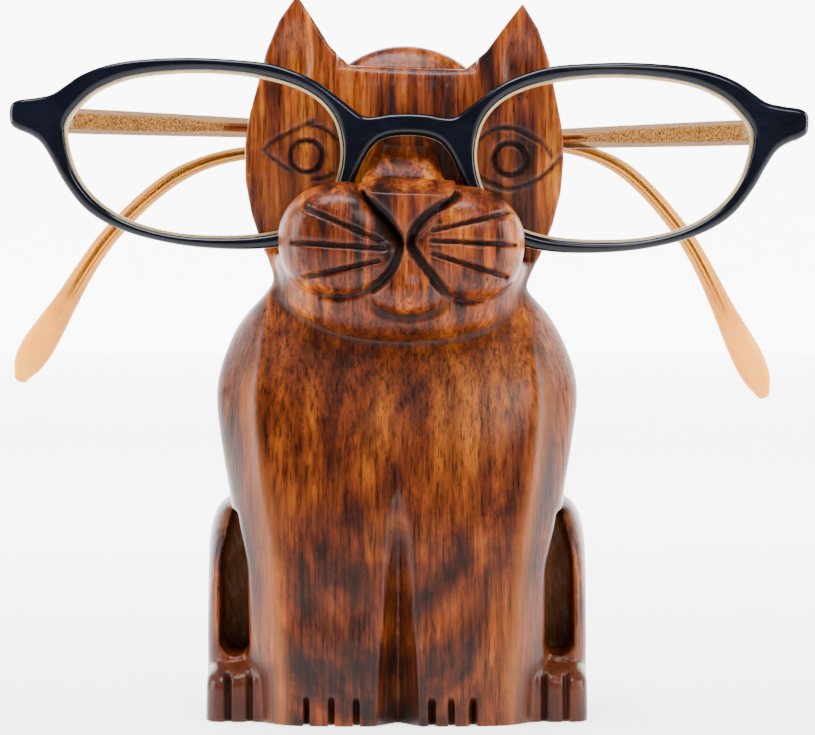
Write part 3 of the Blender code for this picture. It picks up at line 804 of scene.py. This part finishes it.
def make_temple(name):
    """The acetate round the core, with rounded ends."""
    sides = 20
    rows = temple_line(name, 8)
    last = rows[-1]
    start = []
    for t in (0.1, 0.35, 0.7):
        less = -END_ROUND * (1 - t) ** 2
        start.append(rows[0] + (0.5 * t, 0, less, less))
    along = (rows[-1] - rows[-2])[:2]
    along /= np.linalg.norm(along)
    end = []
    for t in (0.35, 0.7, 0.9, 1.0):
        scale = math.sqrt(max(1 - t * t, 0.01))
        end.append(np.array([*(last[:2] + along * t * END_ROUND), last[2] * scale, last[3] * scale]))
    rows = np.vstack([start, rows[1:], end])
    item = skin("acetate_temple_" + name, tube_rings(name, rows, sides), place_temple(name))
    set_value(item, "along", np.repeat(rows[:, 0] / rows[:, 0].max(), sides))
    angles = math.tau * (np.arange(sides) + 0.5) / sides
    # 1 on the wall that is at the back when the temple is folded
    set_value(item, "back_wall", np.tile(np.cos(angles) > 0, len(rows)).astype(float))
    return item


def make_core(name):
    """A stippled plate with a pointed inner end, running on as a fluted wire with a pointed tip; the flute
    is only painted shade in its colour.
    """
    line = temple_line(name, 8)
    line = line[line[:, 0] < CORE_END - BEND_SOONER[name]]
    end = line[-1, 0]
    rows = []
    plates = []
    for length, drop, height, _ in line:
        plate = float(np.clip((PLATE_END - length) / PLATE_FADE, 0, 1)) ** 0.6
        wire = WIRE_HEIGHT * min(1.0, (end - length) / WIRE_TIP + 0.1)
        thick = PLATE_THICK if length < WIRE_FROM else WIRE_THICK
        rows.append((length, drop, max(wire, PLATE_SHARE * height * plate), thick))
        plates.append(plate)
    sides = 16
    item = skin("gold_core_" + name, tube_rings(name, rows, sides, 0.5), place_temple(name))
    set_value(item, "plate", np.repeat(np.array(plates), sides))
    # the place across the wire's height, which the painted shade and highlights of its flute follow
    angles = math.tau * (np.arange(sides) + 0.5) / sides
    across = np.sign(np.sin(angles)) * np.abs(np.sin(angles)) ** 0.5
    set_value(item, "across", np.tile(across, len(rows)))
    return item


# ------------------------ materials
class Nodes:
    """A short way to write a node tree."""

    def __init__(self, name):
        self.material = bpy.data.materials.new(name)
        self.material.use_nodes = True
        self.tree = self.material.node_tree
        self.shader = self.tree.nodes["Principled BSDF"]
        self.output = self.tree.nodes["Material Output"]

    def add(self, kind, **settings):
        node = self.tree.nodes.new("ShaderNode" + kind)
        for key, value in settings.items():
            setattr(node, key, value)
        return node

    def link(self, a, b):
        self.tree.links.new(a, b)

    def feed(self, socket, value):
        """Give a socket a number, a colour or another node's output."""
        if isinstance(value, (int, float)):
            socket.default_value = value
        elif isinstance(value, tuple):
            socket.default_value = (*value, 1.0)
        else:
            self.link(value, socket)

    def put(self, name, value):
        """The same for an input of the shader."""
        self.feed(self.shader.inputs[name], value)

    def coordinates(self, scale=(1, 1, 1), rotation=(0, 0, 0), offset=(0, 0, 0)):
        place = self.add("TexCoord")
        mapping = self.add("Mapping")
        mapping.inputs["Scale"].default_value = scale
        mapping.inputs["Rotation"].default_value = rotation
        mapping.inputs["Location"].default_value = offset
        self.link(place.outputs["Object"], mapping.inputs["Vector"])
        return mapping.outputs["Vector"]

    def noise(self, vector, detail, roughness, distortion=0.0):
        """Noise whose scale is that of its coordinates."""
        node = self.add("TexNoise")
        node.inputs["Scale"].default_value = 1.0
        node.inputs["Detail"].default_value = detail
        node.inputs["Roughness"].default_value = roughness
        node.inputs["Distortion"].default_value = distortion
        self.link(vector, node.inputs["Vector"])
        return node.outputs["Fac"]

    def ramp(self, value, stops):
        node = self.add("ValToRGB")
        elements = node.color_ramp.elements
        while len(elements) < len(stops):
            elements.new(0.5)
        for element, (place, color) in zip(elements, stops):
            element.position = place
            element.color = (*color, 1.0)
        self.link(value, node.inputs["Fac"])
        return node.outputs["Color"]

    def greys(self, value, *stops):
        return self.ramp(value, [(place, (level,) * 3) for place, level in stops])

    def math(self, operation, a, b=None):
        node = self.add("Math", operation=operation)
        for socket, value in zip(node.inputs, (a, b)):
            if value is not None:
                self.feed(socket, value)
        return node.outputs[0]

    def mix(self, factor, a, b, blend="MIX"):
        node = self.add("Mix", data_type="RGBA", blend_type=blend)
        for index, value in ((0, factor), (6, a), (7, b)):
            self.feed(node.inputs[index], value)
        return node.outputs[2]

    def attribute(self, name):
        return self.add("Attribute", attribute_name=name).outputs["Fac"]

    def bump(self, height, strength, distance):
        node = self.add("Bump")
        node.inputs["Strength"].default_value = strength
        node.inputs["Distance"].default_value = distance
        self.link(height, node.inputs["Height"])
        self.link(node.outputs["Normal"], self.shader.inputs["Normal"])


def rosewood():
    """Red-brown figured wood: swirling dark figure, upright stripes, fine grain and pores, with painted
    shade in the grooves and the tooled hollows and a painted highlight along the ridges.
    """
    n = Nodes("carved_rosewood")
    head = n.attribute("head")
    swirl = n.noise(n.coordinates((30, 20, 26), (0.0, 0.75, 0.0)), 7, 0.66, 2.2)
    stripes = n.noise(n.coordinates((300, 120, 26), (0.0, 0.10, 0.0)), 4, 0.62, 0.5)
    bands = n.noise(n.coordinates((95, 60, 17), (0.0, 0.42, 0.1)), 4, 0.6, 1.2)
    grain = n.noise(n.coordinates((1500, 1200, 110), (0.0, 0.06, 0.0)), 4, 0.65, 0.2)
    pores = n.noise(n.coordinates((2600, 2600, 260), (0.0, 0.04, 0.0)), 2, 0.5)
    body_mix = n.math("ADD", n.math("MULTIPLY", swirl, 0.55), n.math("MULTIPLY", bands, 0.45))
    head_mix = n.math("ADD", n.math("MULTIPLY", stripes, 0.75), n.math("MULTIPLY", swirl, 0.25))
    body = n.ramp(
        body_mix,
        (
            (0.36, (0.005, 0.0012, 0.0008)), (0.43, (0.023, 0.0045, 0.0012)), (0.49, (0.064, 0.012, 0.002)),
            (0.56, (0.115, 0.026, 0.0025)), (0.67, (0.205, 0.058, 0.004)),
        ),
    )
    face = n.ramp(
        head_mix,
        (
            (0.37, (0.011, 0.003, 0.0015)), (0.44, (0.062, 0.011, 0.003)), (0.50, (0.140, 0.027, 0.004)),
            (0.57, (0.235, 0.056, 0.006)), (0.66, (0.380, 0.120, 0.009)),
        ),
    )
    rings = n.add("TexWave", wave_type="RINGS", rings_direction="Y")
    rings.inputs["Scale"].default_value = 0.5
    rings.inputs["Distortion"].default_value = 5.0
    rings.inputs["Detail"].default_value = 4.0
    rings.inputs["Detail Scale"].default_value = 0.5
    n.link(n.coordinates((120, 40, 62), (0.0, 0.35, 0.0), (-1.0, 0.0, -2.9)), rings.inputs["Vector"])
    figure = n.ramp(
        rings.outputs["Fac"],
        ((0.15, (0.52, 0.42, 0.38)), (0.5, (0.95, 0.93, 0.92)), (0.9, (1.2, 1.15, 1.05))),
    )
    base = n.mix(head, n.mix(0.7, body, figure, "MULTIPLY"), face)
    fibre = n.ramp(grain, ((0.34, (0.30, 0.22, 0.20)), (0.50, (1.0, 1.0, 1.0)), (0.66, (1.55, 1.4, 1.15))))
    color = n.mix(0.92, base, fibre, "MULTIPLY")
    pore = n.ramp(pores, ((0.32, (0.25, 0.2, 0.18)), (0.42, (1.0, 1.0, 1.0))))
    color = n.mix(0.75, color, pore, "MULTIPLY")
    # painted highlight: the ridges lighter and more orange, where light catches the edge
    color = n.mix(n.math("MULTIPLY", n.attribute("ridge"), 0.45), color, (0.24, 0.065, 0.006))
    # painted shade in the tooled hollow: dark wood laid over it
    dark = n.mix(grain, (0.07, 0.020, 0.006), (0.26, 0.095, 0.026))
    color = n.mix(n.math("MULTIPLY", n.attribute("tooling_and_shade"), 0.8), color, dark)
    color = n.mix(n.math("MULTIPLY", n.attribute("paws"), 0.6), color, (0.04, 0.010, 0.005))
    # painted shade: near black in the carved lines, the toe slits, the V between the legs and the neck
    # crease
    color = n.mix(n.attribute("groove"), color, (0.006, 0.003, 0.003))
    n.put("Base Color", color)
    rough = n.math("ADD", n.math("MULTIPLY", grain, 0.22), 0.20)
    rough = n.math("ADD", rough, n.math("MULTIPLY", n.attribute("groove"), 0.4))
    rough = n.math("ADD", rough, n.math("MULTIPLY", n.attribute("tooling_and_shade"), 0.15))
    n.put("Roughness", rough)
    n.put("Specular IOR Level", 0.15)
    n.put("Coat Weight", 0.03)
    n.put("Coat Roughness", 0.10)
    chatter = n.noise(n.coordinates((150, 150, 110)), 3, 0.5, 0.3)
    height = n.math("ADD", n.math("MULTIPLY", grain, 0.35), n.math("MULTIPLY", pores, 0.3))
    n.bump(n.math("ADD", height, n.math("MULTIPLY", chatter, 1.2)), 0.30, 0.0004)
    return n.material


def navy_acetate():
    """Near-black navy with a polish that shows fine buffing lines."""
    n = Nodes("navy_acetate_gloss")
    cloud = n.noise(n.coordinates((90, 90, 90)), 3, 0.5, 0.4)
    color = n.ramp(cloud, ((0.35, (0.0012, 0.0015, 0.0032)), (0.7, (0.0025, 0.0032, 0.0075))))
    n.put("Base Color", color)
    buffing = n.noise(n.coordinates((300, 300, 2600), (0.0, 0.5, 0.0)), 2, 0.6)
    n.put("Roughness", n.greys(buffing, (0.4, 0.10), (0.75, 0.20)))
    n.put("Specular IOR Level", 0.22)
    n.bump(buffing, 0.02, 0.00005)
    return n.material


def cream_acetate():
    n = Nodes("cream_acetate_gloss")
    cloud = n.noise(n.coordinates((160, 160, 160)), 4, 0.55, 0.6)
    n.put("Base Color", n.ramp(cloud, ((0.3, (0.52, 0.34, 0.12)), (0.7, (0.74, 0.54, 0.25)))))
    n.put("Roughness", n.greys(cloud, (0.3, 0.16), (0.7, 0.26)))
    n.put("Subsurface Weight", 0.25)
    n.put("Subsurface Scale", 0.001)
    n.bump(cloud, 0.04, 0.00005)
    return n.material


def lens_glass():
    """Clear, with a soft reflection at grazing angles and a few smears."""
    n = Nodes("clear_lens_glass")
    clear = n.add("BsdfTransparent")
    n.feed(clear.inputs["Color"], (0.985, 0.99, 0.99))
    smear = n.noise(n.coordinates((70, 70, 70), (0.0, 0.6, 0.0)), 4, 0.6, 1.0)
    shine = n.add("BsdfGlossy")
    n.link(n.greys(smear, (0.4, 0.01), (0.8, 0.06)), shine.inputs["Roughness"])
    fresnel = n.add("Fresnel")
    fresnel.inputs["IOR"].default_value = 1.1
    mix = n.add("MixShader")
    n.link(fresnel.outputs[0], mix.inputs[0])
    n.link(clear.outputs[0], mix.inputs[1])
    n.link(shine.outputs[0], mix.inputs[2])
    n.link(mix.outputs[0], n.output.inputs["Surface"])
    n.tree.nodes.remove(n.shader)
    return n.material


def amber_acetate():
    """Clear brownish champagne that turns milky peach towards the paddle tip."""
    n = Nodes("amber_temple_acetate")
    along = n.attribute("along")
    cloud = n.noise(n.coordinates((240, 240, 240)), 3, 0.5, 0.5)
    place = n.math("ADD", along, n.math("MULTIPLY", cloud, 0.04))
    clear = n.ramp(
        place,
        ((0.60, (0.15, 0.095, 0.050)), (0.80, (0.38, 0.17, 0.035)), (0.93, (0.66, 0.27, 0.035))),
    )
    milky = n.mix(cloud, (0.86, 0.29, 0.012), (0.98, 0.42, 0.03))
    tip = n.greys(place, (0.935, 0.0), (0.985, 1.0))
    n.put("Base Color", n.mix(tip, clear, milky))
    n.put("Roughness", n.greys(along, (0.88, 0.10), (0.97, 0.32)))
    n.put("Subsurface Weight", 0.2)
    n.put("Subsurface Scale", 0.002)
    n.put("Specular IOR Level", 0.25)
    n.bump(cloud, 0.05, 0.0001)
    through = n.add("BsdfTransparent")
    n.link(n.ramp(place, ((0.60, (0.74, 0.57, 0.43)), (0.90, (0.94, 0.68, 0.33)))), through.inputs["Color"])
    # the core shows through the front wall, and the back wall is nearly solid behind it
    front_wall = n.greys(place, (0.93, 0.86), (0.975, 0.15))
    back_wall = n.greys(place, (0.93, 0.16), (0.975, 0.06))
    see = n.mix(n.attribute("back_wall"), front_wall, back_wall)
    mix = n.add("MixShader")
    n.link(see, mix.inputs[0])
    n.link(n.shader.outputs[0], mix.inputs[1])
    n.link(through.outputs[0], mix.inputs[2])
    n.link(mix.outputs[0], n.output.inputs["Surface"])
    return n.material


def gold_core():
    """Stippled on the plate; on the wire, a painted shade down the middle fold, painted highlights beside
    it and painted shade towards its top and bottom.
    """
    n = Nodes("stippled_gold_core")
    plate = n.attribute("plate")
    fine = n.noise(n.coordinates((4200, 4200, 4200)), 2, 0.6)
    speck = n.ramp(
        fine,
        ((0.40, (0.16, 0.09, 0.02)), (0.50, (0.62, 0.42, 0.14)), (0.62, (1.0, 0.86, 0.50))),
    )
    # painted shade in the middle fold, painted highlights beside it, painted shade towards the top and
    # bottom
    fold = n.math("ABSOLUTE", n.attribute("across"))
    wire = n.ramp(
        fold,
        ((0.12, (0.06, 0.03, 0.006)), (0.45, (0.92, 0.62, 0.18)), (0.9, (0.52, 0.30, 0.07))),
    )
    share = n.greys(plate, (0.05, 0.0), (0.3, 1.0))
    n.put("Base Color", n.mix(share, wire, speck))
    n.put("Roughness", n.greys(plate, (0.1, 0.22), (0.5, 0.38)))
    n.bump(n.math("MULTIPLY", fine, share), 0.7, 0.0003)
    n.put("Metallic", 1.0)
    return n.material


def gold_hinge():
    n = Nodes("brushed_gold_hinge")
    fine = n.noise(n.coordinates((2600, 2600, 2600)), 2, 0.6)
    brushed = n.noise(n.coordinates((120, 3000, 3000)), 2, 0.6)
    n.put("Base Color", n.ramp(brushed, ((0.3, (0.62, 0.42, 0.16)), (0.7, (0.9, 0.68, 0.32)))))
    n.put("Roughness", n.greys(fine, (0.3, 0.18), (0.7, 0.3)))
    n.bump(brushed, 0.15, 0.00005)
    n.put("Metallic", 1.0)
    return n.material


def dress(item, material):
    item.data.materials.clear()
    item.data.materials.append(material)


# ------------------------ stage, lights and camera
CAMERA_X = 1.8
CAMERA_Z = 71.5
CAMERA_DISTANCE = 600.0  # from the front of the glasses
CAMERA_PITCH = math.radians(1.096)
CAMERA_LENS = 155.9
SENSOR_WIDTH = 36.0
STAGE_HALF_WIDTH = 6500
STAGE_DEPTH = 4000  # from the object to the wall
WALL_HEIGHT = 4000
FLOOR_FRONT_GLOW = 1.3
FLOOR_BACK_GLOW = 5.0
GLOW_GROWS = (-0.15, 0.5)  # y in metres between which the floor's glow goes up
WALL_GLOW = 6.5
WORLD_GLOW = 0.20
# each light's name, place and size in metres, and power in watts
LIGHT_AIM = (0.0, 0.0, 0.065)
LIGHTS = (
    ("left_softbox", (-0.50, -0.06, 0.18), (0.22, 0.45), 4.5),
    ("right_softbox", (0.50, -0.06, 0.18), (0.22, 0.45), 4.5),
    ("top_softbox", (-0.06, -0.16, 0.66), (0.45, 0.25), 8.0),
    ("front_fill", (0.35, -0.85, 0.60), (0.35, 0.35), 6.0),
    ("back_fill", (-0.3, 0.80, 0.55), (0.5, 0.4), 3.0),
)


def make_camera():
    data = bpy.data.cameras.new("camera")
    data.lens = CAMERA_LENS
    data.sensor_width = SENSOR_WIDTH
    data.clip_start = 0.05
    camera = bpy.data.objects.new("camera", data)
    camera.location = Vector((CAMERA_X, FRONT_Y - CAMERA_DISTANCE, CAMERA_Z)) * MM
    camera.rotation_euler = (math.pi / 2 - CAMERA_PITCH, 0, 0)
    bpy.context.scene.collection.objects.link(camera)
    bpy.context.scene.camera = camera


def make_light(name, place, size, power):
    data = bpy.data.lights.new(name, "AREA")
    data.shape = "RECTANGLE"
    data.size, data.size_y = size
    data.energy = power
    light = bpy.data.objects.new(name, data)
    light.location = Vector(place)
    light.rotation_euler = (Vector(LIGHT_AIM) - Vector(place)).to_track_quat("-Z", "Y").to_euler()
    bpy.context.scene.collection.objects.link(light)


def glowing(name, front, back):
    """A plain pale surface that glows a little, less in front of the object, like a studio's sweep."""
    n = Nodes(name)
    split = n.add("SeparateXYZ")
    n.link(n.coordinates(), split.inputs[0])
    sweep = n.add("MapRange")
    values = (split.outputs["Y"], *GLOW_GROWS, front, back)
    for socket, value in zip(("Value", "From Min", "From Max", "To Min", "To Max"), values):
        n.feed(sweep.inputs[socket], value)
    n.put("Emission Strength", sweep.outputs["Result"])
    n.put("Base Color", (0.8, 0.8, 0.8))
    n.put("Roughness", 0.8)
    n.put("Emission Color", (1.0, 1.0, 1.0))
    return n.material


def flat_sheet(name, corners):
    bm = bmesh.new()
    bm.faces.new([bm.verts.new(corner) for corner in corners])
    return from_bmesh(name, bm)


def make_stage():
    w, d, h = STAGE_HALF_WIDTH, STAGE_DEPTH, WALL_HEIGHT
    floor = flat_sheet("floor", ((-w, -d, 0), (w, -d, 0), (w, d, 0), (-w, d, 0)))
    dress(floor, glowing("lit_floor", FLOOR_FRONT_GLOW, FLOOR_BACK_GLOW))
    wall = flat_sheet("wall", ((-w, d, 0), (w, d, 0), (w, d, h), (-w, d, h)))
    dress(wall, glowing("lit_wall", WALL_GLOW, WALL_GLOW))
    world = bpy.data.worlds.new("studio")
    world.use_nodes = True
    background = world.node_tree.nodes["Background"]
    background.inputs["Color"].default_value = (1, 1, 1, 1)
    background.inputs["Strength"].default_value = WORLD_GLOW
    bpy.context.scene.world = world
    for light in LIGHTS:
        make_light(*light)


# ------------------------ put it together
def main():
    make_camera()
    wood = rosewood()
    cat = make_cat()
    dress(cat, wood)
    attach(cat, "stand")
    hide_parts("carved_cat")

    dark = front_layer("front_dark_layer", FRONT_Y, DARK_BACK_Y, DARK_LIP, DARK_EDGES, DARK_VOXEL)
    dress(dark, navy_acetate())
    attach(dark, "glasses_front")
    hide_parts("frame_front")

    pale_front_y = DARK_BACK_Y + LAYER_GAP
    pale = front_layer("front_pale_layer", pale_front_y, PALE_BACK_Y, PALE_LIP, PALE_EDGES, PALE_VOXEL)
    dress(pale, cream_acetate())
    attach(pale, "glasses_front")
    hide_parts("frame_back_layer")

    glass = lens_glass()
    acetate = amber_acetate()
    core_gold = gold_core()
    hinge_gold = gold_hinge()
    for name, side in SIDES.items():
        lens = make_lens("clear_lens_" + name, side)
        dress(lens, glass)
        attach(lens, "glasses_front")
        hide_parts("lens_" + name)

        temple = make_temple(name)
        dress(temple, acetate)
        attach(temple, name + "_temple")
        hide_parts("temple_" + name)

        core = make_core(name)
        dress(core, core_gold)
        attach(core, name + "_temple")
        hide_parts("core_wire_" + name)

        for node in ("hinge_front_", "hinge_temple_", "hinge_screw_"):
            metal = frame["nodes"][node + name]
            dress(metal, hinge_gold)
    make_stage()


main()
